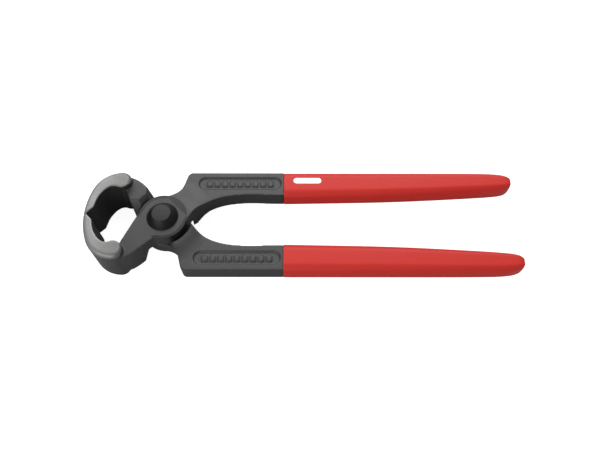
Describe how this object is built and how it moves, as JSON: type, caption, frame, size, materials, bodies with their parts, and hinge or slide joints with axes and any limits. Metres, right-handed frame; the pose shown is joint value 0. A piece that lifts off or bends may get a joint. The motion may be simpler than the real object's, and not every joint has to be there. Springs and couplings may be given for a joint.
{
  "type": "end-cutting pincers",
  "caption": "Forged steel end-cutting pincers with curved jaws, a riveted lap joint and two red dipped handles, for pulling and cutting wire and nails.",
  "frame": {"origin": "on the pivot axis, in the plane of the rear jaw sides and the rear rivet head, on which the tool lies", "axes": "+X towards the handle ends, +Y towards the upper handle, +Z along the pivot axis away from the rest plane"},
  "size_m": [0.2265, 0.0586, 0.025],
  "materials": {
    "forged_steel": "blackened satin forging, bright ground jaw sides",
    "rivet_steel": "blackened satin",
    "dipped_plastic": "semi-gloss red dip coating"
  },
  "bodies": {
    "rear_half": {"rear_arm": "forged_steel", "rivet": "rivet_steel", "lower_grip": "dipped_plastic"},
    "front_half": {"front_arm": "forged_steel", "upper_grip": "dipped_plastic"}
  },
  "joints": [
    {"name": "pivot", "type": "hinge", "parent": "rear_half", "child": "front_half", "pos_m": [0, 0, 0.0125], "axis": [0, 0, 1], "range_deg": [0, 37]}
  ]
}
